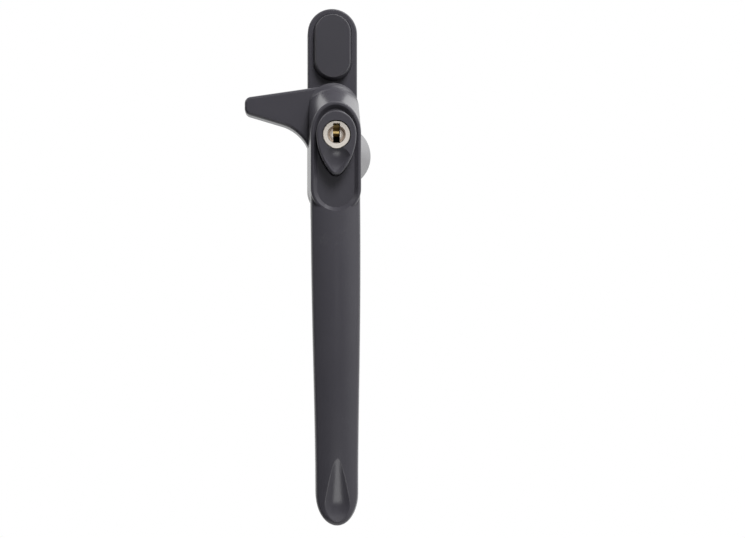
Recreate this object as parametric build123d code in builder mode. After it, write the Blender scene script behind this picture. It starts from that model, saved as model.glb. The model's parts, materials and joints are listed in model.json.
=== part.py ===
"""Left-hand cockspur window handle with a push button that a key locks.

The origin is on the pivot axis, at the back face of the base plate. X runs to the right, Y into the
window and Z up, so the front faces -Y. A "depth" below is a distance in front of the mounting face.
"""

import os
from math import asin, degrees, sqrt

from build123d import *

os.makedirs("parts", exist_ok=True)

# Clearances
press_gap = 0.01  # a pin pressed into its hole
running_gap = 0.06  # a shaft that turns or slides in its hole
loose_gap = 0.2  # a piece that drops into its seat

# Base plate
plate_width = 20.0
plate_length = 83.5
plate_depth = 8.5
plate_side_wall = 2.2
plate_front_wall = 4.0
plate_edge_round = 0.8
fixing_pitch = 52.0
fixing_hole_r = 2.25
fixing_head_r = 4.2
fixing_head_depth = 3.0
fixing_boss_wall = 2.4

# Screw cover cap
cap_length = 27.0
cap_width = 15.4
cap_height = 3.2
cap_draft = 14.5
cap_wall = 1.3
cap_seat_depth = 0.8
cap_edge_round = 0.4
cap_leg_width = 3.0
cap_leg_thickness = 1.2
cap_leg_offset = 8.5
cap_barb = 0.5
cap_barb_length = 0.9

# Pivot
pivot_r = 3.5
pivot_engagement = 9.0
pivot_tail_depth = 1.0
pivot_edge = 0.4
bush_wall = 1.0
friction_disc_r = 5.6
friction_disc_thickness = 0.5
washer_r = 6.8
washer_thickness = 0.8
spring_washer_thickness = 0.4
spring_washer_height = 0.9
clip_thickness = 0.8
clip_r = 5.2
clip_groove_depth = 0.8
clip_opening = 4.2

# Stop
stop_radius = 7.2
stop_pin_r = 1.2
stop_pin_engagement = 5.0
stop_pin_reach = 3.4
lever_travel = 90.0

# Lever foot and head
foot_thickness = 8.5
foot_length = 31.5  # between the centres of its round ends
shoulder_mid = 8.3  # heights of the hollow shoulder above the foot's front
shoulder_mid_rise = 0.6
shoulder_top = 7.0
shoulder_rise = 1.9
rim_depth = 33.5
rim_half_width = 9.6
rim_top = 0.0
rim_top_arch = 12.5
rim_bottom_center = -33.0
rim_round = 0.8
recess_land = 1.1
recess_depth = 1.2
recess_slope = 1.4  # width of the sloping wall
boss_r = 12.65
boss_center = (2.75, -18.0)
boss_draft = 17.0
core_wall = 2.6
core_depth = 8.0

# Spur
spur_reach = 35.0
spur_tip_top = 3.8
spur_tip_bottom = -2.5
spur_root_top = 8.65
spur_root_bottom = -18.0
spur_root_sink = 0.5  # the root ends inside the foot
spur_root_lean = 0.15
spur_belly_reach = 20.0  # where the straight underside turns down to the root
spur_belly = -6.8
spur_belly_pull = (1.0, 1.0)
spur_thickness = 8.5
spur_tip_round = 2.6
spur_edge_round = 1.2
spur_lead_in = 1.4

# Grip
grip_tip = -158.9
grip_end_length = 11.4
grip_end_half_width = 7.95
grip_top_half_width = 9.5
grip_mid_half_width = 8.85
grip_top = -28.0
grip_mid = -92.0
grip_front_depths = (32.9, 40.2, 43.2)  # at the head, half way and at the tip
grip_thickness = 10.6
grip_crown_r = 16.0
grip_trim = 3.0  # cut off each side of the swept bar
grip_front_round = 2.0
grip_back_round = 2.4
root_fillet = 6.0
root_sink = 0.15  # the fillet starts this far inside the head

# Thumb scoop at the end of the grip
scoop_top = -133.7
scoop_end_land = 2.4  # from the scoop down to the tip of the grip
scoop_depth = 1.6
scoop_top_r = 5.0
scoop_bowl_r = 12.3
scoop_edge_round = 0.4

# Push button
button_center = -12.9  # height of the key axis and of the lock pin
button_half_width = 7.5
button_top_arch = 8.8
button_waist = -12.6
button_tip = -28.05
button_tip_r = 2.9
button_front_depth = 37.0
button_body_length = 13.5
button_travel = 3.5
button_edge_round = 0.7
button_gap = 0.2
button_bottom_gap = 0.5  # left under the button when it is pushed in
barrel_r = 6.5
barrel_length = 8.0
barrel_bore_r = 5.0
dish_r = 5.6
dish_depth = 1.7
dish_center = -22.9
dish_lip = 0.8
dish_under = 0.3  # the drafted outline goes this much deeper than the ball
dish_draft = 38.0
button_pin_r = 1.0
button_pin_height = -23.5
button_pin_depth = 27.8
button_pin_reach = 8.0
button_pin_right = 9.2

# Key plug and wafers
plug_face_r = 5.2
plug_face_thickness = 2.1
plug_body_r = 4.2
plug_body_length = 8.3
plug_sink = 0.2
plug_edge = 0.2
plug_face_gap = 0.2
plug_end_wall = 0.6
plug_mouth_r = 3.45
plug_mouth_depth = 0.9
plug_mouth_draft = 40.0
plug_tail_width = 3.6
plug_tail_length = 3.9
keyway_width = 2.6
keyway_height = 7.3
keyway_rise = 0.55  # middle of the keyway above the plug's axis
wafer_count = 4
wafer_thickness = 0.8
wafer_width = 4.5
wafer_pitch = 1.6
wafer_lead = 2.2  # from the plug's flange to the first wafer's back
wafer_window_height = 3.5
wafer_window_drop = 1.5  # middle of the window below the plug's axis
wafer_gap = 0.05
wafer_steps = (0.3, -0.45, 0.15, -0.3)

# Lock cam, lock pin and button spring
cam_thickness = 1.8
cam_r = 4.7
cam_reach = 8.6
cam_lobe_width = 3.0
cam_gap = 0.3
cam_room_start = -115.0  # angles of the room in which the cam swings
cam_room_end = 30.0
cam_notch_start = -70.0
cam_end_gap = 0.1
cam_clip_r = 3.9
cam_clip_groove_r = 1.4
lock_pin_r = 2.0
lock_flange_thickness = 2.0
lock_flange_inset = 6.0  # from the barrel's end to the flange's front
lock_pin_edge = 0.5
lock_pin_sink = 0.3
lock_floor = 2.0
spring_r = 3.7
spring_wire_r = 0.4
spring_turns = 4

# Sizes that follow from those above
plate_r = plate_width / 2
plate_pocket_depth = plate_depth - plate_front_wall
foot_back = plate_depth + friction_disc_thickness
foot_front = foot_back + foot_thickness
shoulder_depth = foot_front + shoulder_rise
spur_inner = -plate_r / 2
recess_floor = rim_depth - recess_depth
bush_r = pivot_r + bush_wall
button_back = button_front_depth - button_body_length
barrel_back = button_back - barrel_length
button_pocket_floor = button_back - button_travel - button_bottom_gap
bore_floor = foot_back + lock_floor
plug_front = button_front_depth - plug_sink
plug_seat = plug_front - plug_face_thickness
plug_body_back = plug_seat - plug_body_length
plug_tail_back = plug_body_back - plug_tail_length
cam_front = plug_body_back - cam_end_gap
cam_back = cam_front - cam_thickness
cam_clip_back = cam_back - clip_thickness
dish_ball_r = (dish_r**2 + dish_depth**2) / (2 * dish_depth)
flange_front = barrel_back + lock_flange_inset
flange_back = flange_front - lock_flange_thickness
lock_pin_tip = foot_back + lock_pin_sink
core_top = button_center - barrel_r - core_wall


def cam_sector(outer_r, start, end):
    """Pie slice from the key axis, used for the room in which the cam swings."""
    with BuildLine() as outline:
        arc = CenterArc((0, button_center), outer_r, start, end - start)
        Line((0, button_center), arc @ 0)
        Line(arc @ 1, (0, button_center))
    return outline.edges()


def teardrop(gap):
    """Outline of the push button or, with a gap, one parallel to it: arched top and rounded tip."""
    half_width = button_half_width + gap
    tip_r = button_tip_r + gap
    tip_center = button_tip + button_tip_r
    drop = button_waist - tip_center
    side_r = (half_width**2 + drop**2 - tip_r**2) / (2 * (half_width - tip_r))
    touch_x = tip_r * (side_r - half_width) / (side_r - tip_r)
    touch_z = tip_center - tip_r * drop / (side_r - tip_r)
    with BuildLine() as outline:
        top = EllipticalCenterArc(
            (0, button_waist), half_width, button_top_arch + gap, start_angle=0, arc_size=180
        )
        left = TangentArc(top @ 1, (-touch_x, touch_z), tangent=(0, -1))
        right = TangentArc(top @ 0, (touch_x, touch_z), tangent=(0, -1))
        ThreePointArc(left @ 1, (0, button_tip - gap), right @ 1)
    return outline.edges()


def open_clip(groove_r, outer_r, opening):
    """Sketch of a retaining ring with its open side to the right."""
    Circle(outer_r)
    Circle(groove_r, mode=Mode.SUBTRACT)
    with Locations((outer_r / 2 + groove_r / 2, 0)):
        Rectangle(outer_r, opening, mode=Mode.SUBTRACT)


def rim_outline(inset):
    """Outline of the head's rim, or of the recess that lies inside it."""
    arch_center = rim_top - rim_top_arch
    with BuildLine() as outline:
        top = EllipticalCenterArc(
            (0, arch_center), rim_half_width - inset, rim_top_arch - inset, start_angle=0, arc_size=180
        )
        bottom = CenterArc((0, rim_bottom_center), rim_half_width - inset, 180, 180)
        Line(top @ 1, bottom @ 0)
        Line(bottom @ 1, top @ 0)
    return outline.edges()


def grip_outline():
    """Front view of the grip: gently tapered sides and a rounded end."""
    end_height = grip_tip + grip_end_length
    with BuildLine() as outline:
        right = Spline(
            (grip_top_half_width, grip_top),
            (grip_mid_half_width, grip_mid),
            (grip_end_half_width, end_height),
            tangents=((0, -1), (0, -1)),
        )
        EllipticalCenterArc(
            (0, end_height), grip_end_half_width, grip_end_length, start_angle=180, arc_size=180
        )
        left = Spline(
            (-grip_top_half_width, grip_top),
            (-grip_mid_half_width, grip_mid),
            (-grip_end_half_width, end_height),
            tangents=((0, -1), (0, -1)),
        )
        Line(left @ 0, right @ 0)
    return outline.edges()


stop_path = CenterArc((0, 0), stop_radius, 90, lever_travel)

# Base plate: hollow-backed casting with two counterbored fixing holes, the pivot hole, the curved
# slot of the stop pin, the hole that the lock pin enters and the seat of the screw cover cap.
with BuildPart() as base_plate:
    with BuildSketch(Plane.XZ):
        SlotOverall(plate_length, plate_width, rotation=90)
    extrude(amount=plate_depth)
    fillet(base_plate.faces().sort_by(Axis.Y)[0].outer_wire().edges(), plate_edge_round)
    with BuildSketch(Plane.XZ):
        SlotOverall(
            plate_length - 2 * plate_side_wall, plate_width - 2 * plate_side_wall, rotation=90
        )
        with GridLocations(1, fixing_pitch, 1, 2):
            Circle(fixing_hole_r + fixing_boss_wall, mode=Mode.SUBTRACT)
    extrude(amount=plate_pocket_depth, mode=Mode.SUBTRACT)
    with BuildSketch(Plane.XZ):
        with GridLocations(1, fixing_pitch, 1, 2):
            Circle(fixing_hole_r)
        Circle(bush_r + press_gap)
        with Locations((0, button_center)):
            Circle(lock_pin_r + loose_gap)
        SlotArc(stop_path, 2 * (stop_pin_r + loose_gap))
        for side in (-1, 1):
            with Locations((0, fixing_pitch / 2 + side * (cap_leg_offset - cap_barb / 2))):
                Rectangle(cap_leg_width + loose_gap, cap_leg_thickness + cap_barb + loose_gap)
    extrude(amount=plate_depth, mode=Mode.SUBTRACT)
    with BuildSketch(Plane.XZ.offset(plate_depth)):
        with GridLocations(1, fixing_pitch, 1, 2):
            Circle(fixing_head_r)
    extrude(amount=-fixing_head_depth, mode=Mode.SUBTRACT)
    with BuildSketch(Plane.XZ.offset(plate_depth)):
        with Locations((0, fixing_pitch / 2)):
            SlotOverall(cap_length + loose_gap, cap_width + loose_gap, rotation=90)
    extrude(amount=-cap_seat_depth, mode=Mode.SUBTRACT)
base_plate.part.label = "base_plate"
export_step(base_plate.part, "parts/base_plate.step")

# Screw cover cap: drafted hollow shell, held by two barbed legs through the base plate.
cap_base = plate_depth - cap_seat_depth
cap_front = plate_depth + cap_height
with BuildPart() as screw_cover_cap:
    with BuildSketch(Plane.XZ.offset(cap_base)):
        with Locations((0, fixing_pitch / 2)):
            SlotOverall(cap_length, cap_width, rotation=90)
    extrude(amount=cap_seat_depth)
    with BuildSketch(Plane.XZ.offset(plate_depth)):
        with Locations((0, fixing_pitch / 2)):
            SlotOverall(cap_length, cap_width, rotation=90)
    extrude(amount=cap_height, taper=cap_draft)
    fillet(screw_cover_cap.faces().sort_by(Axis.Y)[0].edges(), cap_edge_round)
    with BuildSketch(Plane.XZ.offset(cap_base)):
        with Locations((0, fixing_pitch / 2)):
            SlotOverall(cap_length - 2 * cap_wall, cap_width - 2 * cap_wall, rotation=90)
    extrude(amount=cap_front - cap_wall - cap_base, taper=cap_draft, mode=Mode.SUBTRACT)
    leg_back = plate_pocket_depth - cap_barb_length
    with BuildSketch(Plane.XZ.offset(leg_back)):
        with Locations((0, fixing_pitch / 2)):
            with GridLocations(1, 2 * cap_leg_offset, 1, 2):
                Rectangle(cap_leg_width, cap_leg_thickness)
    extrude(amount=cap_front - cap_wall / 2 - leg_back)
    with BuildSketch(Plane.XZ.offset(leg_back)):
        for side in (-1, 1):
            with Locations((0, fixing_pitch / 2 + side * (cap_leg_offset + cap_barb / 2))):
                Rectangle(cap_leg_width, cap_leg_thickness + cap_barb)
    extrude(amount=cap_barb_length)
screw_cover_cap.part.label = "screw_cover_cap"
export_step(screw_cover_cap.part, "parts/screw_cover_cap.step")

# Pivot pin: turned steel, pressed into the lever's foot, with a groove near its tail.
clip_front = plate_pocket_depth - spring_washer_height - washer_thickness
clip_back = clip_front - clip_thickness
clip_groove_r = pivot_r - clip_groove_depth
with BuildPart() as pivot_pin:
    with BuildSketch(Plane.XZ.offset(pivot_tail_depth)):
        Circle(pivot_r)
    extrude(amount=foot_back + pivot_engagement - pivot_tail_depth)
    with BuildSketch(Plane.XZ.offset(clip_back)):
        Circle(pivot_r)
        Circle(clip_groove_r, mode=Mode.SUBTRACT)
    extrude(amount=clip_thickness, mode=Mode.SUBTRACT)
    chamfer(pivot_pin.faces().sort_by(Axis.Y)[-1].edges(), pivot_edge)
pivot_pin.part.label = "pivot_pin"
export_step(pivot_pin.part, "parts/pivot_pin.step")

# Pivot bush: brass sleeve pressed into the base plate's front wall.
with BuildPart() as pivot_bush:
    with BuildSketch(Plane.XZ.offset(plate_pocket_depth)):
        Circle(bush_r)
        Circle(pivot_r + running_gap, mode=Mode.SUBTRACT)
    extrude(amount=plate_front_wall)
pivot_bush.part.label = "pivot_bush"
export_step(pivot_bush.part, "parts/pivot_bush.step")

# Friction disc: nylon, between the base plate and the foot.
with BuildPart() as friction_disc:
    with BuildSketch(Plane.XZ.offset(plate_depth)):
        Circle(friction_disc_r)
        Circle(pivot_r + running_gap, mode=Mode.SUBTRACT)
    extrude(amount=friction_disc_thickness)
friction_disc.part.label = "friction_disc"
export_step(friction_disc.part, "parts/friction_disc.step")

# Spring washer: bowed strip of spring steel under the retaining washer.
bow = spring_washer_height - spring_washer_thickness
with BuildPart() as spring_washer:
    with BuildSketch(Plane.XY.offset(-washer_r)):
        with BuildLine():
            far = ThreePointArc(
                (-washer_r, -plate_pocket_depth),
                (0, -plate_pocket_depth + bow),
                (washer_r, -plate_pocket_depth),
            )
            near = ThreePointArc(
                (-washer_r, -plate_pocket_depth + spring_washer_thickness),
                (0, -plate_pocket_depth + spring_washer_height),
                (washer_r, -plate_pocket_depth + spring_washer_thickness),
            )
            Line(far @ 0, near @ 0)
            Line(far @ 1, near @ 1)
        make_face()
    extrude(amount=2 * washer_r)
    with BuildSketch(Plane.XZ):
        Circle(washer_r)
        Circle(pivot_r + loose_gap, mode=Mode.SUBTRACT)
    extrude(amount=plate_depth, mode=Mode.INTERSECT)
spring_washer.part.label = "spring_washer"
export_step(spring_washer.part, "parts/spring_washer.step")

# Retaining washer and clip: they hold the pin from behind, inside the hollow of the plate.
with BuildPart() as retaining_washer:
    with BuildSketch(Plane.XZ.offset(clip_front)):
        Circle(washer_r)
        Circle(pivot_r + loose_gap, mode=Mode.SUBTRACT)
    extrude(amount=washer_thickness)
retaining_washer.part.label = "retaining_washer"
export_step(retaining_washer.part, "parts/retaining_washer.step")

with BuildPart() as retaining_clip:
    with BuildSketch(Plane.XZ.offset(clip_back)):
        open_clip(clip_groove_r + press_gap, clip_r, clip_opening)
    extrude(amount=clip_thickness)
retaining_clip.part.label = "retaining_clip"
export_step(retaining_clip.part, "parts/retaining_clip.step")

# Stop pin: dowel in the foot, above the pivot when the handle is closed.
with BuildPart() as stop_pin:
    with BuildSketch(Plane.XZ.offset(foot_back - stop_pin_reach)):
        with Locations((0, stop_radius)):
            Circle(stop_pin_r)
    extrude(amount=stop_pin_reach + stop_pin_engagement)
stop_pin.part.label = "stop_pin"
export_step(stop_pin.part, "parts/stop_pin.step")

def neck_outline(depth, height):
    """Outline of the head's neck at a depth, between the foot's and the rim's."""
    share = (depth - foot_front) / (rim_depth - foot_front)
    half_width = plate_r + share * (rim_half_width - plate_r)
    arch_center = share * (rim_top - rim_top_arch)
    bottom_center = -foot_length + share * (rim_bottom_center + foot_length)
    with BuildLine() as outline:
        top = EllipticalCenterArc(
            (0, arch_center), half_width, height - arch_center, start_angle=0, arc_size=180
        )
        bottom = CenterArc((0, bottom_center), half_width, 180, 180)
        Line(top @ 1, bottom @ 0)
        Line(bottom @ 1, top @ 0)
    return outline.edges()


# Head of the lever: straight foot, a shoulder, then walls that lean back to the narrower rim.
with BuildPart() as head:
    with BuildSketch(Plane.XZ.offset(foot_back)):
        with Locations((0, -foot_length / 2)):
            SlotCenterToCenter(foot_length, plate_width, rotation=90)
    extrude(amount=foot_thickness)
    for depth, height in (
        (foot_front, plate_r),
        (foot_front + shoulder_mid_rise, shoulder_mid),
        (shoulder_depth, shoulder_top),
    ):
        with BuildSketch(Plane.XZ.offset(depth)):
            make_face(neck_outline(depth, height))
    loft()
    for depth, height in ((shoulder_depth, shoulder_top), (rim_depth, rim_top)):
        with BuildSketch(Plane.XZ.offset(depth)):
            make_face(neck_outline(depth, height))
    loft()
    fillet(head.faces().sort_by(Axis.Y)[0].edges(), rim_round)

# Grip: a crowned bar swept along a slight bow, cut to its outline and rounded.
grip_end = grip_tip + grip_end_length
with BuildPart() as grip_bar:
    with BuildLine() as grip_path:
        ThreePointArc(
            (0, -grip_front_depths[0], grip_top),
            (0, -grip_front_depths[1], grip_mid),
            (0, -grip_front_depths[2], grip_tip),
        )
    bar_half = grip_top_half_width + grip_trim
    bar_drop = grip_crown_r - sqrt(grip_crown_r**2 - bar_half**2)
    with BuildSketch(Plane(origin=grip_path.line @ 0, x_dir=(1, 0, 0), z_dir=grip_path.line % 0)):
        with BuildLine():
            crown = ThreePointArc((-bar_half, -bar_drop), (0, 0), (bar_half, -bar_drop))
            Polyline(
                crown @ 0, (-bar_half, -grip_thickness), (bar_half, -grip_thickness), crown @ 1
            )
        make_face()
    sweep(path=grip_path.line)

grip_arc = grip_path.line.edges()[0]


def grip_front(height):
    """Depth of the grip's crown at a height."""
    across = sqrt(grip_arc.radius**2 - (height - grip_arc.arc_center.Z) ** 2)
    return across - grip_arc.arc_center.Y


# Tool that hollows the thumb scoop: a cone that runs into a ball, leaning out of the grip.
scoop_half_height = sqrt(2 * scoop_bowl_r * scoop_depth - scoop_depth**2)
bowl_height = grip_tip + scoop_end_land + scoop_half_height
scoop_start = Vector(0, -grip_front(scoop_top) - scoop_top_r, scoop_top)
scoop_bowl = Vector(0, -grip_front(bowl_height) - scoop_bowl_r + scoop_depth, bowl_height)
scoop_run = (scoop_bowl - scoop_start).length
scoop_along = (scoop_bowl - scoop_start).normalized()
scoop_flare = (scoop_bowl_r - scoop_top_r) / scoop_run
scoop_touch = scoop_bowl - scoop_along * (scoop_bowl_r * scoop_flare)
with BuildPart() as scoop:
    with BuildSketch(Plane(origin=scoop_touch, x_dir=(1, 0, 0), z_dir=scoop_along)):
        Circle(scoop_bowl_r * sqrt(1 - scoop_flare**2))
    extrude(amount=-scoop_run, taper=degrees(asin(scoop_flare)))
    with Locations(scoop_bowl):
        Sphere(scoop_bowl_r)

with BuildPart() as grip:
    with BuildSketch(Plane.XZ.offset(foot_back)):
        make_face(grip_outline())
    extrude(amount=grip_front_depths[2])
    add(grip_bar.part, mode=Mode.INTERSECT)
    crowned_face = grip.faces().filter_by(GeomType.TORUS)[0]
    fillet(crowned_face.edges().sort_by(Axis.Z)[:-1], grip_front_round)
    back_face = grip.faces().filter_by(GeomType.CYLINDER).sort_by(Axis.Y)[-1]
    fillet(back_face.edges().sort_by(Axis.Z)[:-1], grip_back_round)
    add(scoop.part, mode=Mode.SUBTRACT)
    crowned_face = grip.faces().filter_by(GeomType.TORUS).sort_by(SortBy.AREA)[-1]
    fillet(crowned_face.inner_wires()[0].edges(), scoop_edge_round)
# Fillet under the grip where it leaves the head.
head_bottom = -foot_length - plate_r
fillet_end = head_bottom - root_fillet
fillet_top = grip_front(fillet_end) - grip_thickness
with BuildPart() as grip_root:
    with BuildSketch(Plane.YZ):
        with BuildLine():
            hollow = RadiusArc(
                (-fillet_top + root_fillet, head_bottom + root_sink),
                (-fillet_top, fillet_end + root_sink),
                -root_fillet,
            )
            Polyline(
                hollow @ 0,
                (-fillet_top + root_fillet, head_bottom + core_wall),
                (-fillet_top - core_wall, head_bottom + core_wall),
                (-fillet_top - core_wall, fillet_end + root_sink),
                hollow @ 1,
            )
        make_face()
    revolve(axis=Axis((0, 0, -foot_length), (0, 1, 0)), revolution_arc=90)
    mirror(about=Plane.YZ)
    with BuildSketch(Plane.XZ.offset(foot_back)):
        make_face(grip_outline())
    extrude(amount=rim_depth, mode=Mode.INTERSECT)

# Spur: the nose that closes over the frame's wedge, bevelled at the back where it slides on.
with BuildPart() as spur:
    with BuildSketch(Plane.XZ.offset(foot_back)):
        with BuildLine():
            under = Line((-spur_reach, spur_tip_bottom), (-spur_belly_reach, spur_belly))
            sweep_down = Spline(
                under @ 1,
                (-plate_r + spur_root_sink, spur_root_bottom),
                tangents=(under % 1, (spur_root_lean, -1)),
                tangent_scalars=spur_belly_pull,
            )
            Polyline(
                sweep_down @ 1,
                (spur_inner, spur_root_bottom),
                (spur_inner, spur_root_top),
                (-spur_reach, spur_tip_top),
                under @ 0,
            )
        make_face()
        fillet(vertices().group_by(Axis.X)[0], spur_tip_round)
    extrude(amount=spur_thickness)
    spur_face = spur.faces().sort_by(Axis.Y)[0]
    fillet(spur_face.edges().filter_by(lambda e: e.center().X < spur_inner), spur_edge_round)
    spur_back = spur.faces().sort_by(Axis.Y)[-1]
    top_edge = spur_back.edges().filter_by(GeomType.LINE).sort_by(Axis.Z)[-1]
    chamfer(top_edge, spur_lead_in)

# Tool that sinks the recess in the head's face, with a wall that slopes down to its floor.
with BuildPart() as recess:
    with BuildSketch(Plane.XZ.offset(rim_depth)):
        make_face(rim_outline(recess_land))
    with BuildSketch(Plane.XZ.offset(recess_floor)):
        make_face(rim_outline(recess_land + recess_slope))
    loft()
    with BuildSketch(Plane.XZ.offset(rim_depth)):
        make_face(rim_outline(recess_land))
    extrude(amount=plate_r)

# Lever: one casting of head, boss, grip and spur.
with BuildPart() as lever:
    add(head.part)
    with BuildSketch(Plane.XZ.offset(foot_back)):
        with Locations(boss_center):
            Circle(boss_r)
    extrude(amount=recess_floor - foot_back - core_wall, taper=boss_draft)
    add(grip.part)
    add(grip_root.part)
    add(spur.part)
    add(recess.part, mode=Mode.SUBTRACT)
    with BuildSketch(Plane.XZ.offset(button_pocket_floor)):
        make_face(teardrop(button_gap))
    extrude(amount=button_front_depth - button_pocket_floor, mode=Mode.SUBTRACT)
    with BuildSketch(Plane.XZ.offset(bore_floor)):
        with Locations((0, button_center)):
            Circle(barrel_r + button_gap)
    extrude(amount=button_pocket_floor - bore_floor, mode=Mode.SUBTRACT)
    with BuildSketch(Plane.XZ.offset(foot_back)):
        with Locations((0, button_center)):
            Circle(lock_pin_r + running_gap)
    extrude(amount=lock_floor, mode=Mode.SUBTRACT)
    for cam_place in (cam_back, cam_back - button_travel):
        with BuildSketch(Plane.XZ.offset(cam_place - cam_gap)):
            make_face(cam_sector(cam_reach + cam_gap, cam_notch_start, cam_room_end))
        extrude(amount=cam_thickness + 2 * cam_gap, mode=Mode.SUBTRACT)
    with BuildSketch(Plane.XZ.offset(foot_back)):
        Circle(pivot_r + press_gap)
    extrude(amount=pivot_engagement, mode=Mode.SUBTRACT)
    with BuildSketch(Plane.XZ.offset(foot_back)):
        with Locations((0, stop_radius)):
            Circle(stop_pin_r + press_gap)
    extrude(amount=stop_pin_engagement, mode=Mode.SUBTRACT)
    with BuildSketch(Plane.XZ.offset(foot_back)):
        with Locations((0, -foot_length / 2)):
            SlotCenterToCenter(foot_length, plate_width - 2 * core_wall, rotation=90)
        with Locations((0, core_top)):
            Rectangle(plate_width, plate_length, align=(Align.CENTER, Align.MIN), mode=Mode.SUBTRACT)
    extrude(amount=core_depth, mode=Mode.SUBTRACT)
    with BuildSketch(Plane.YZ.offset(-button_pin_reach)):
        with Locations((-button_pin_depth, button_pin_height)):
            Circle(button_pin_r + press_gap)
    extrude(amount=2 * plate_width, mode=Mode.SUBTRACT)
lever.part.label = "lever"
export_step(lever.part, "parts/lever.step")

# Tool that hollows the thumb dish: a ball, kept inside a drafted outline that leaves a lip.
with BuildPart() as dish:
    with BuildSketch(Plane.XZ.offset(button_front_depth)):
        make_face(teardrop(-dish_lip))
    extrude(amount=-dish_depth - dish_under, taper=dish_draft)
    with Locations((0, -button_front_depth - dish_ball_r + dish_depth, dish_center)):
        Sphere(dish_ball_r, mode=Mode.INTERSECT)

# Push button: teardrop body with a round barrel behind it, bored for the key plug.
with BuildPart() as push_button:
    with BuildSketch(Plane.XZ.offset(button_back)):
        make_face(teardrop(0))
    extrude(amount=button_body_length)
    front_edges = push_button.faces().sort_by(Axis.Y)[0].edges()
    fillet(front_edges, button_edge_round)
    with BuildSketch(Plane.XZ.offset(barrel_back)):
        with Locations((0, button_center)):
            Circle(barrel_r)
    extrude(amount=barrel_length)
    add(dish.part, mode=Mode.SUBTRACT)
    with BuildSketch(Plane.XZ.offset(plug_seat)):
        with Locations((0, button_center)):
            Circle(plug_face_r + plug_face_gap)
    extrude(amount=button_body_length, mode=Mode.SUBTRACT)
    with BuildSketch(Plane.XZ.offset(plug_body_back)):
        with Locations((0, button_center)):
            Circle(plug_body_r + running_gap)
    extrude(amount=plug_body_length, mode=Mode.SUBTRACT)
    with BuildSketch(Plane.XZ.offset(barrel_back)):
        with Locations((0, button_center)):
            Circle(barrel_bore_r)
    extrude(amount=plug_body_back - barrel_back, mode=Mode.SUBTRACT)
    with BuildSketch(Plane.XZ.offset(button_back)):
        make_face(cam_sector(cam_reach + cam_gap, cam_room_start, cam_room_end))
    extrude(amount=cam_front + cam_gap - button_back, mode=Mode.SUBTRACT)
    with BuildSketch(Plane.XZ.offset(barrel_back)):
        with Locations((0, button_center - barrel_r)):
            Rectangle(cam_lobe_width + 2 * cam_gap, barrel_r)
    extrude(amount=cam_front + cam_gap - barrel_back, mode=Mode.SUBTRACT)
    with BuildSketch(Plane.YZ):
        with Locations((-button_pin_depth - button_travel / 2, button_pin_height)):
            SlotCenterToCenter(button_travel, 2 * (button_pin_r + running_gap))
    extrude(amount=plate_width, both=True, mode=Mode.SUBTRACT)
push_button.part.label = "push_button"
export_step(push_button.part, "parts/push_button.step")

# Key plug: turned and broached, with a slot across it for each wafer and a square tail.
wafer_depths = [plug_seat - wafer_lead - wafer_pitch * i for i in range(wafer_count)]
with BuildPart() as key_plug:
    with BuildSketch(Plane.XZ.offset(plug_seat)):
        with Locations((0, button_center)):
            Circle(plug_face_r)
    extrude(amount=plug_face_thickness)
    chamfer(key_plug.faces().sort_by(Axis.Y)[0].edges(), plug_edge)
    with BuildSketch(Plane.XZ.offset(plug_body_back)):
        with Locations((0, button_center)):
            Circle(plug_body_r)
    extrude(amount=plug_body_length)
    with BuildSketch(Plane.XZ.offset(plug_tail_back)):
        with Locations((0, button_center)):
            Rectangle(plug_tail_width, plug_tail_width)
    extrude(amount=plug_tail_length)
    with BuildSketch(Plane.XZ.offset(cam_clip_back)):
        with Locations((0, button_center)):
            Rectangle(plug_tail_width, plug_tail_width)
            Circle(cam_clip_groove_r, mode=Mode.SUBTRACT)
    extrude(amount=clip_thickness, mode=Mode.SUBTRACT)
    with BuildSketch(Plane.XZ.offset(plug_front)):
        with Locations((0, button_center)):
            Circle(plug_mouth_r)
    extrude(amount=-plug_mouth_depth, taper=plug_mouth_draft, mode=Mode.SUBTRACT)
    with BuildSketch(Plane.XZ.offset(plug_body_back + plug_end_wall)):
        with Locations((0, button_center + keyway_rise)):
            Rectangle(keyway_width, keyway_height)
    extrude(amount=plug_front - plug_body_back, mode=Mode.SUBTRACT)
    for depth in wafer_depths:
        with BuildSketch(Plane.XZ.offset(depth - wafer_gap)):
            with Locations((0, button_center)):
                Rectangle(wafer_width + 2 * wafer_gap, 2 * plug_body_r)
        extrude(amount=wafer_thickness + 2 * wafer_gap, mode=Mode.SUBTRACT)
key_plug.part.label = "key_plug"
export_step(key_plug.part, "parts/key_plug.step")

# Wafers: stamped brass plates, each with a window for the key at a height of its own.
for i, (depth, step) in enumerate(zip(wafer_depths, wafer_steps), start=1):
    with BuildPart() as wafer:
        with BuildSketch(Plane.XZ.offset(depth)):
            with Locations((0, button_center)):
                Circle(plug_body_r - wafer_gap)
                Rectangle(wafer_width, 2 * plug_body_r, mode=Mode.INTERSECT)
            with Locations((0, button_center - wafer_window_drop + step)):
                Rectangle(keyway_width + 2 * wafer_gap, wafer_window_height, mode=Mode.SUBTRACT)
        extrude(amount=wafer_thickness)
    wafer.part.label = f"wafer_{i}"
    export_step(wafer.part, f"parts/wafer_{i}.step")

# Lock cam: on the plug's square tail. Turned by the key, its lobe reaches into the head's wall.
with BuildPart() as lock_cam:
    with BuildSketch(Plane.XZ.offset(cam_back)):
        with Locations((0, button_center)):
            Circle(cam_r)
        with Locations((0, button_center - (cam_reach - cam_lobe_width / 2) / 2)):
            SlotCenterToCenter(cam_reach - cam_lobe_width / 2, cam_lobe_width, rotation=90)
        with Locations((0, button_center)):
            Rectangle(plug_tail_width + 2 * press_gap, plug_tail_width + 2 * press_gap, mode=Mode.SUBTRACT)
    extrude(amount=cam_thickness)
lock_cam.part.label = "lock_cam"
export_step(lock_cam.part, "parts/lock_cam.step")

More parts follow.
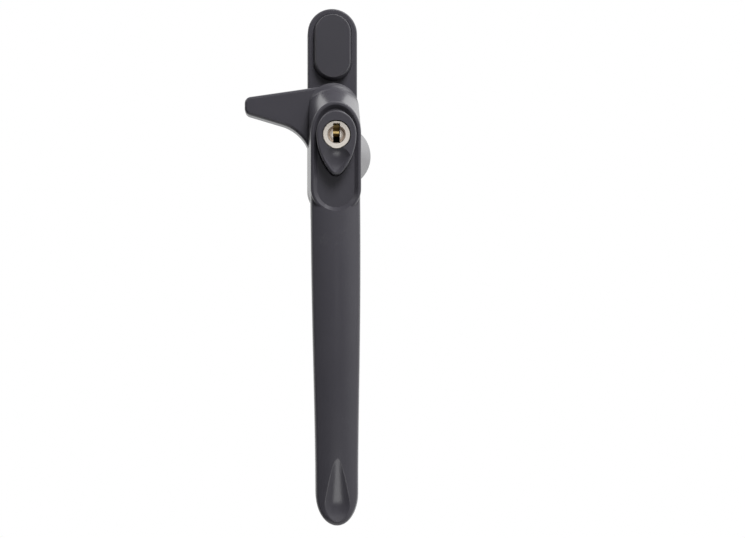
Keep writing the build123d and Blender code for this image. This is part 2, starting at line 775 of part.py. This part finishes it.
# Cam clip: spring ring in the tail's groove.
with BuildPart() as cam_clip:
    with BuildSketch(Plane.XZ.offset(cam_clip_back)):
        with Locations((0, button_center)):
            Circle(cam_clip_r)
            Circle(cam_clip_groove_r + press_gap, mode=Mode.SUBTRACT)
        with Locations((cam_clip_r, button_center)):
            Rectangle(2 * cam_clip_r, cam_clip_groove_r, mode=Mode.SUBTRACT)
    extrude(amount=clip_thickness)
cam_clip.part.label = "cam_clip"
export_step(cam_clip.part, "parts/cam_clip.step")

# Lock pin: turned steel, its flange pressed into the button's barrel.
with BuildPart() as lock_pin:
    with BuildSketch(Plane.XZ.offset(lock_pin_tip)):
        with Locations((0, button_center)):
            Circle(lock_pin_r)
    extrude(amount=flange_back - lock_pin_tip)
    chamfer(lock_pin.faces().sort_by(Axis.Y)[-1].edges(), lock_pin_edge)
    with BuildSketch(Plane.XZ.offset(flange_back)):
        with Locations((0, button_center)):
            Circle(barrel_bore_r - press_gap)
    extrude(amount=lock_flange_thickness)
lock_pin.part.label = "lock_pin"
export_step(lock_pin.part, "parts/lock_pin.step")

# Button spring: coil round the lock pin, between the bottom of the bore and the pin's flange.
spring_height = flange_back - bore_floor - 2 * spring_wire_r
with BuildPart() as button_spring:
    with BuildLine() as coil:
        Helix(
            pitch=spring_height / spring_turns,
            height=spring_height,
            radius=spring_r,
            center=(0, -bore_floor - spring_wire_r, button_center),
            direction=(0, -1, 0),
        )
    with BuildSketch(Plane(origin=coil.line @ 0, z_dir=coil.line % 0)):
        Circle(spring_wire_r)
    sweep(path=coil.line, is_frenet=True)
button_spring.part.label = "button_spring"
export_step(button_spring.part, "parts/button_spring.step")

# Button pin: keeps the button in the lever, across the slot in which it travels.
with BuildPart() as button_pin:
    with BuildSketch(Plane.YZ.offset(-button_pin_reach)):
        with Locations((-button_pin_depth, button_pin_height)):
            Circle(button_pin_r)
    extrude(amount=button_pin_reach + button_pin_right)
button_pin.part.label = "button_pin"
export_step(button_pin.part, "parts/button_pin.step")
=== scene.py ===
"""Cockspur window handle with a key-locking push button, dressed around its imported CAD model.

Everything is in metres in the part's own frame: X to the right, Y into the window, Z up, with the
origin on the pivot axis at the back of the base plate.
"""

import json
import math

import bmesh
import bpy
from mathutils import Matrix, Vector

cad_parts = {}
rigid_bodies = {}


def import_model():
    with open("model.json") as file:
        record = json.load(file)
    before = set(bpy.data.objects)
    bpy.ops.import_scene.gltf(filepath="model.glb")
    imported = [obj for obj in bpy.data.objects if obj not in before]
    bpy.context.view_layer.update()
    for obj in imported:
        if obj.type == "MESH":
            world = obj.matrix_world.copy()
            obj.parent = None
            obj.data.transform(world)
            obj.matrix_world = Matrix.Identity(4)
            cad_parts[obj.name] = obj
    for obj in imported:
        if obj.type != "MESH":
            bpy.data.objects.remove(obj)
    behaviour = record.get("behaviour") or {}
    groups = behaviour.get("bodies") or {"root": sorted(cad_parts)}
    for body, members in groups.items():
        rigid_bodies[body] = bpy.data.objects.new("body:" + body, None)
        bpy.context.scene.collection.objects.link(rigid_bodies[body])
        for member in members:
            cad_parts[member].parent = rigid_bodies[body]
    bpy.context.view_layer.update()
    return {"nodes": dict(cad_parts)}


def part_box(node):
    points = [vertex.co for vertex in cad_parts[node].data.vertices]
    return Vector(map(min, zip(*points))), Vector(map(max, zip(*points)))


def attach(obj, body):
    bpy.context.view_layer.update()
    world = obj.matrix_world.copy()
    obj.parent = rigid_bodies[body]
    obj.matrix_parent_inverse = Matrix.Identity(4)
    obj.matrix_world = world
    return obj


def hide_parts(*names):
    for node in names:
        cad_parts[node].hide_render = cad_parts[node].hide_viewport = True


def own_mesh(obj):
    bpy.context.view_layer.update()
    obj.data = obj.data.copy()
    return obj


for leftover in list(bpy.data.objects):
    bpy.data.objects.remove(leftover)
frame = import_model()
nodes = frame["nodes"]
scene = bpy.context.scene
scene.view_settings.view_transform = "Standard"


# Base plate: a hollow-backed zinc casting, screwed to the sash through two counterbored holes. It
# is powder coated in satin anthracite, and the coat flows as it bakes, which leaves a faint orange
# peel and a slightly uneven gloss.
class Shade:
    """A value in a node tree, on which Python arithmetic adds Math nodes."""

    def __init__(self, tree, socket=None):
        self.tree = tree
        self.socket = socket

    def node(self, kind, settings=None, inputs=None, output=0):
        """Adds a node, makes its settings, fills its sockets and gives one of its outputs."""
        made = self.tree.nodes.new("ShaderNode" + kind)
        for name, value in (settings or {}).items():
            setattr(made, name, value)
        for name, value in (inputs or {}).items():
            if isinstance(value, Shade):
                self.tree.links.new(value.socket, made.inputs[name])
            else:
                made.inputs[name].default_value = value
        return Shade(self.tree, made.outputs[output] if made.outputs else None)

    def noise(self, place, scale, detail):
        """Cloudy pattern from 0 to 1, with its scale in grains to the metre."""
        return self.node("TexNoise", inputs={"Vector": place, "Scale": scale, "Detail": detail})

    def blend(self, factor, first, second):
        """Mixes two colours."""
        return self.node("Mix", {"data_type": "RGBA"}, {0: factor, 6: first, 7: second}, 2)

    def bump(self, height, strength, depth):
        """Relief that follows a pattern and is this deep."""
        return self.node("Bump", inputs={"Height": height, "Strength": strength, "Distance": depth})

    def close(self, tint, roughness, relief, metallic=0.0):
        """Ends a material's tree in its surface."""
        looks = {"Base Color": tint, "Roughness": roughness, "Normal": relief, "Metallic": metallic}
        skin = self.node("BsdfPrincipled", inputs=looks)
        self.node("OutputMaterial", inputs={"Surface": skin})

    def ramp(self, low, high):
        """Rises smoothly from 0 at the low value to 1 at the high one."""
        span = {"Value": self, "From Min": low, "From Max": high}
        return self.node("MapRange", {"interpolation_type": "SMOOTHSTEP"}, span)

    def math(self, operation, first, second=0.0):
        """Adds one Math node."""
        return self.node("Math", {"operation": operation}, {0: first, 1: second})

    def __add__(self, other):
        return self.math("ADD", self, other)

    def __radd__(self, other):
        return self.math("ADD", other, self)

    def __sub__(self, other):
        return self.math("SUBTRACT", self, other)

    def __rsub__(self, other):
        return self.math("SUBTRACT", other, self)

    def __mul__(self, other):
        return self.math("MULTIPLY", self, other)

    def __rmul__(self, other):
        return self.math("MULTIPLY", other, self)

    def __pow__(self, other):
        return self.math("POWER", self, other)


def new_surface(name):
    """Empty material, the start of its node tree and its place on the object."""
    material = bpy.data.materials.new(name)
    material.use_nodes = True
    material.node_tree.nodes.clear()
    tree = Shade(material.node_tree)
    return material, tree, tree.node("TexCoord", output="Object")


coat_dark = (0.0385, 0.037, 0.0442, 1)
coat_light = (0.0455, 0.0438, 0.0517, 1)
coat_roughness = 0.22
anthracite_coat, tree, place = new_surface("anthracite_coat")
peel = tree.noise(place, scale=900.0, detail=1.0)
grain = tree.noise(place, scale=5200.0, detail=1.0)
cloud = tree.noise(place, scale=70.0, detail=3.0)
tint = tree.blend(cloud, coat_dark, coat_light)
dimples = tree.bump(peel + 0.2 * grain, strength=0.12, depth=0.00006)
tree.close(tint, coat_roughness + 0.05 * cloud + 0.03 * grain, dimples)
nodes["base_plate"].data.materials[0] = anthracite_coat


# Pivot bush: a plain bearing turned from brass bar and pressed into the base plate's front wall.
# It is never polished, so the lathe's feed marks stay on it.
def worked_metal(name, dark, light, roughness, mark_scale):
    """Bare metal whose tool marks are noise, drawn out by a scale that differs along each axis."""
    material, tree, place = new_surface(name)
    drawn = tree.node("Mapping", inputs={"Vector": place, "Scale": mark_scale})
    marks = tree.noise(drawn, scale=1.0, detail=2.0)
    stain = tree.noise(place, scale=350.0, detail=2.0)
    tint = tree.blend(0.6 * marks + 0.4 * stain, dark, light)
    ridges = tree.bump(marks, strength=0.15, depth=0.00003)
    tree.close(tint, roughness + 0.08 * marks + 0.06 * stain, ridges, metallic=1.0)
    return material


turned_brass = worked_metal(
    "turned_brass",
    dark=(0.5, 0.33, 0.1, 1),
    light=(0.72, 0.52, 0.2, 1),
    roughness=0.26,
    mark_scale=(800, 6000, 800),
)
nodes["pivot_bush"].data.materials[0] = turned_brass

# Friction disc: cut from a sheet of natural nylon and laid between the plate and the lever's foot,
# so that the handle turns stiffly and the coat isn't rubbed.
nylon_dark = (0.6, 0.57, 0.49, 1)
nylon_light = (0.72, 0.7, 0.63, 1)
nylon_roughness = 0.42
nylon, tree, place = new_surface("nylon")
cloud = tree.noise(place, scale=500.0, detail=2.0)
scuffs = tree.noise(place, scale=3500.0, detail=1.0)
tint = tree.blend(cloud, nylon_dark, nylon_light)
scratches = tree.bump(scuffs, strength=0.2, depth=0.00002)
tree.close(tint, nylon_roughness + 0.12 * cloud, scratches)
nodes["friction_disc"].data.materials[0] = nylon

# Pivot pin, stop pin, lock pin and button pin: turned or ground from bright steel bar. The first
# two are pressed into the foot, the lock pin into the button and the last across the head.
bright_steel = worked_metal(
    "bright_steel",
    dark=(0.42, 0.42, 0.43, 1),
    light=(0.62, 0.62, 0.63, 1),
    roughness=0.27,
    mark_scale=(900, 6000, 900),
)
for name in ("pivot_pin", "stop_pin", "lock_pin", "button_pin"):
    nodes[name].data.materials[0] = bright_steel

# Washers and clips: stamped from hardened strip, and left dark and oily from the quench. They hold
# the pivot pin in the plate and the cam on the plug's tail.
spring_steel = worked_metal(
    "spring_steel",
    dark=(0.16, 0.16, 0.18, 1),
    light=(0.33, 0.33, 0.36, 1),
    roughness=0.3,
    mark_scale=(2500, 900, 2500),
)
for name in ("spring_washer", "retaining_washer", "retaining_clip", "cam_clip"):
    nodes[name].data.materials[0] = spring_steel

# Lever: one zinc casting of foot, neck, spur, side boss and grip, which turns on the pivot pin. It
# wears the same coat as the plate.
nodes["lever"].data.materials[0] = anthracite_coat

# Button spring: steel wire coiled round the lock pin, between the bottom of the head's bore and the
# pin's flange. It shortens as the button goes in. A coil of wire is built here and stands for the
# rigid one, which is hidden.
spring_low, spring_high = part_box("button_spring")
wire_r = 0.0004
wire_sides = 12
spring_turns = 4
turn_steps = 28
spring_length = spring_high[1] - spring_low[1]
spring_axis = (spring_low[2] + spring_high[2]) / 2
coil_r = (spring_high[0] - spring_low[0]) / 2 - wire_r
coil_steps = spring_turns * turn_steps
wire = bmesh.new()
bmesh.ops.create_circle(wire, segments=wire_sides, radius=wire_r)
bmesh.ops.translate(wire, verts=wire.verts, vec=(coil_r, spring_high[1] - wire_r, spring_axis))
bmesh.ops.spin(
    wire,
    geom=wire.verts[:] + wire.edges[:],
    cent=(0, 0, spring_axis),
    axis=(0, 1, 0),
    dvec=(0, -(spring_length - 2 * wire_r) / coil_steps, 0),
    angle=math.tau * spring_turns,
    steps=coil_steps,
)
wire_ends = [edge for edge in wire.edges if edge.is_boundary]
bmesh.ops.holes_fill(wire, edges=wire_ends, sides=wire_sides)
bmesh.ops.recalc_face_normals(wire, faces=wire.faces)
for face in wire.faces:
    face.smooth = len(face.verts) < wire_sides
coil_mesh = bpy.data.meshes.new("button_coil")
wire.to_mesh(coil_mesh)
wire.free()
coil_mesh.materials.append(spring_steel)
button_coil = bpy.data.objects.new("button_coil", coil_mesh)
scene.collection.objects.link(button_coil)
nodes["button_spring"].data.materials[0] = spring_steel
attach(button_coil, "lever")
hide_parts("button_spring")
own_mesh(button_coil)

# Push button: a teardrop zinc casting with a dish for the thumb. It slides in the lever's head,
# where the button pin keeps it, and wears that coat too.
nodes["push_button"].data.materials[0] = anthracite_coat

# Key plug: turned from brass, broached for the key and nickel plated. Its face keeps the rings of
# the facing tool, a brown tint is painted in the corner of its coned mouth as shade, and the keyway
# past the plating is raw, with near-black painted shade.
plug_low, plug_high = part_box("key_plug")
plug_front = plug_low[1]
plug_center = (plug_low[2] + plug_high[2]) / 2
plating_reach = 0.0009
mouth_shade_inner_r = 0.0015
mouth_shade_outer_r = 0.0028
ring_density = 9000
ring_waver = 600
nickel_dark = (0.66, 0.61, 0.55, 1)
nickel_light = (0.76, 0.71, 0.65, 1)
# Painted shade colours: brown for the coned mouth's corner, near black for the keyway.
mouth_shade_brown = (0.19, 0.125, 0.08, 1)
keyway_shade_dark = (0.02, 0.016, 0.011, 1)
nickel_roughness = 0.1
nickel, tree, place = new_surface("nickel")
across = tree.node("SeparateXYZ", inputs={"Vector": place}, output="X")
inward = tree.node("SeparateXYZ", inputs={"Vector": place}, output="Y")
up = tree.node("SeparateXYZ", inputs={"Vector": place}, output="Z") - plug_center
radius = (across * across + up * up) ** 0.5
ring_place = tree.node(
    "CombineXYZ",
    inputs={"X": ring_density * radius, "Y": ring_waver * across, "Z": ring_waver * up},
)
rings = tree.noise(ring_place, scale=1.0, detail=2.0)
raw_and_shaded = inward.ramp(plug_front + plating_reach, plug_front + 2 * plating_reach)
sunk = inward.ramp(plug_front, plug_front + plating_reach / 2)
# Painted shade: a brown tint in the corner of the coned mouth, lowering the metal there.
mouth_shade = sunk * radius.ramp(mouth_shade_inner_r, mouth_shade_outer_r)
plated = tree.blend(rings, nickel_dark, nickel_light)
shaded_plating = tree.blend(0.85 * mouth_shade, plated, mouth_shade_brown)
# Painted shade: past the plating the keyway is raw metal, tinted near black as shade.
tint = tree.blend(raw_and_shaded, shaded_plating, keyway_shade_dark)
roughness = nickel_roughness + 0.05 * rings + 0.2 * mouth_shade + 0.37 * raw_and_shaded
turning = tree.bump(rings, strength=0.1, depth=0.00001)
tree.close(tint, roughness, turning, metallic=(1 - raw_and_shaded) * (1 - 0.75 * mouth_shade))
nodes["key_plug"].data.materials[0] = nickel

# Wafers: stamped from brass strip, one in each slot of the plug and held by it. Their colour is
# painted shade: brown for the shade in the slot, a painted highlight in a band over the window and
# at their top, and near-black painted shade on the window's edge. The heights are from the plug's
# axis.
strip_dark = (0.76, 0.53, 0.2, 1)
strip_light = (0.95, 0.7, 0.31, 1)
# Painted shade: these browns stand for shade in the slot, the near black for shade at the window's
# edge.
shade_brown_dark = (0.12, 0.07, 0.025, 1)
shade_brown_light = (0.34, 0.2, 0.06, 1)
edge_shade_dark = (0.035, 0.022, 0.01, 1)
edge_shade_fade = (-0.0004, 0.0002)
lit_band_start = (0.0004, 0.0009)
lit_band_end = (0.0014, 0.0019)
lit_top_start = (0.0025, 0.0036)
wafer_roughness = 0.38
wafer_brass, tree, place = new_surface("wafer_brass")
drawn = tree.node("Mapping", inputs={"Vector": place, "Scale": (900, 3000, 3500)})
rolled = tree.noise(drawn, scale=1.0, detail=2.0)
shade_mottle = tree.noise(place, scale=700.0, detail=3.0)
up = tree.node("SeparateXYZ", inputs={"Vector": place}, output="Z") - plug_center
# Painted highlight: a lit band over the window and a lighter top; painted shade below the window's
# edge.
lit_band = up.ramp(*lit_band_start) * (1 - up.ramp(*lit_band_end))
painted_highlight = lit_band + 0.45 * up.ramp(*lit_top_start)
edge_shade = 1 - up.ramp(*edge_shade_fade)
strip = tree.blend(rolled, strip_dark, strip_light)
painted_shade_brown = tree.blend(shade_mottle, shade_brown_dark, shade_brown_light)
tint = tree.blend(edge_shade, tree.blend(painted_highlight, painted_shade_brown, strip), edge_shade_dark)
lines = tree.bump(rolled, strength=0.15, depth=0.00002)
tree.close(tint, wafer_roughness - 0.27 * painted_highlight + 0.06 * shade_mottle, lines, metallic=1.0)
for name in ("wafer_1", "wafer_2", "wafer_3", "wafer_4"):
    nodes[name].data.materials[0] = wafer_brass

# Lock cam: stamped from steel strip and zinc plated. It sits on the plug's square tail, and turned
# by the key it holds the button in.
zinc_plate = worked_metal(
    "zinc_plate",
    dark=(0.5, 0.53, 0.56, 1),
    light=(0.72, 0.72, 0.69, 1),
    roughness=0.28,
    mark_scale=(1500, 1500, 1500),
)
nodes["lock_cam"].data.materials[0] = zinc_plate

# Screw cover cap: moulded in nylon of the coat's colour and snapped into the plate by two legs. The
# mould's spark-eroded skin makes it a little duller than the coat.
cap_dark = (0.0365, 0.0353, 0.0412, 1)
cap_light = (0.0415, 0.0402, 0.0468, 1)
cap_roughness = 0.27
cap_plastic, tree, place = new_surface("cap_plastic")
erosion = tree.noise(place, scale=3800.0, detail=2.0)
cloud = tree.noise(place, scale=60.0, detail=2.0)
tint = tree.blend(cloud, cap_dark, cap_light)
pits = tree.bump(erosion, strength=0.25, depth=0.00003)
tree.close(tint, cap_roughness + 0.06 * erosion, pits)
nodes["screw_cover_cap"].data.materials[0] = cap_plastic

# Floor: a matt white table top below the handle. What looks at it, or mirrors it, sees plain white,
# and other light is scattered as from painted board.
floor_half = 0.6
floor_height = -0.8
floor_paint = (0.8, 0.8, 0.8, 1)
white = (1, 1, 1, 1)
floor_mesh = bpy.data.meshes.new("floor")
sheet = bmesh.new()
bmesh.ops.create_grid(sheet, x_segments=1, y_segments=1, size=floor_half)
bmesh.ops.translate(sheet, verts=sheet.verts, vec=(0, 0, floor_height))
sheet.to_mesh(floor_mesh)
sheet.free()
floor = bpy.data.objects.new("floor", floor_mesh)
scene.collection.objects.link(floor)
floor_white, tree, _ = new_surface("floor_white")
matt = tree.node("BsdfDiffuse", inputs={"Color": floor_paint})
plain = tree.node("Emission", inputs={"Color": white, "Strength": 1.0})
looked_at = tree.node("LightPath", output="Is Camera Ray")
mirrored = tree.node("LightPath", output="Is Glossy Ray")
seen = tree.math("MAXIMUM", looked_at, mirrored)
surface = tree.node("MixShader", inputs={0: seen, 1: matt, 2: plain})
tree.node("OutputMaterial", inputs={"Surface": surface})
floor_mesh.materials.append(floor_white)

# Room: a white studio, bright behind the handle and at its right, with a softly lit ceiling, and
# dark on the camera's side, so satin faces stay dark while walls that turn away mirror the white.
# A soft key light casts the shadow under the button, and cards light the ring, dish and scoop.
dark_side = 0.02
back_light = 0.75
right_light = 0.7
ceiling_light = 0.75
world = bpy.data.worlds.new("studio")
scene.world = world
world.use_nodes = True
world.node_tree.nodes.clear()
sky = Shade(world.node_tree)
toward = sky.node("TexCoord", output="Generated")
rightward = sky.node("SeparateXYZ", inputs={"Vector": toward}, output="X")
away = sky.node("SeparateXYZ", inputs={"Vector": toward}, output="Y")
upward = sky.node("SeparateXYZ", inputs={"Vector": toward}, output="Z")
side = sky.math("ABSOLUTE", rightward)
above = sky.math("MAXIMUM", upward, 0.0)
below = 1 - upward.ramp(-0.4, 0.0)
behind = away.ramp(-0.1, 0.5)
right = rightward.ramp(0.2, 0.9)
back_wall = behind * (1 + 0.7 * side + 1.2 * above + 0.6 * right + 1.6 * right * below)
right_wall = right * (1 - behind)
ceiling = upward.ramp(0.3, 0.55) * (1 - upward.ramp(0.65, 0.85)) * (1 - behind)
glow = dark_side + back_light * back_wall + right_light * right_wall + ceiling_light * ceiling
looked_at = sky.node("LightPath", output="Is Camera Ray")
strength = glow + looked_at * (1 - glow)
backdrop = sky.node("Background", inputs={"Color": white, "Strength": strength})
sky.node("OutputWorld", inputs={"Surface": backdrop})


def soft_box(name, place, aim, size, watts):
    """Soft light that shines from its place towards a point."""
    lamp = bpy.data.lights.new(name, "AREA")
    lamp.shape = "RECTANGLE"
    lamp.size, lamp.size_y = size
    lamp.energy = watts
    box = bpy.data.objects.new(name, lamp)
    box.location = place
    x, y, z = (a - p for a, p in zip(aim, place))
    box.rotation_euler = (math.atan2(math.hypot(x, y), -z), 0, math.atan2(y, x) - math.pi / 2)
    scene.collection.objects.link(box)
    return box


key_light = soft_box(
    "key_light", place=(0.18, -0.53, 0.66), aim=(0, 0, -0.05), size=(0.36, 0.36), watts=11.2
)
key_light.visible_glossy = False
soft_box("top_card", place=(0.3, -0.3, 0.75), aim=(0, 0, -0.02), size=(0.5, 0.3), watts=1.8)
soft_box("low_card", place=(0.05, -0.95, -0.48), aim=(0, 0, -0.12), size=(0.45, 0.2), watts=1.25)
soft_box(
    "front_card", place=(0.067, -1.1, 0.106), aim=(0, 0, -0.02), size=(0.12, 0.1), watts=0.044
)

# Camera: level with the handle's middle and a little to its left, at about 41 cm from the sash, as
# in the photograph.
camera_tilt = math.radians(89.96)
camera_turn = math.radians(-5.365)
camera_data = bpy.data.cameras.new("camera")
camera_data.sensor_width = 36.0
camera_data.lens = 48.02
camera_data.clip_start = 0.01
camera = bpy.data.objects.new("camera", camera_data)
camera.location = (-0.0215, -0.4102, -0.0633)
camera.rotation_euler = (camera_tilt, 0, camera_turn)
scene.collection.objects.link(camera)
scene.camera = camera
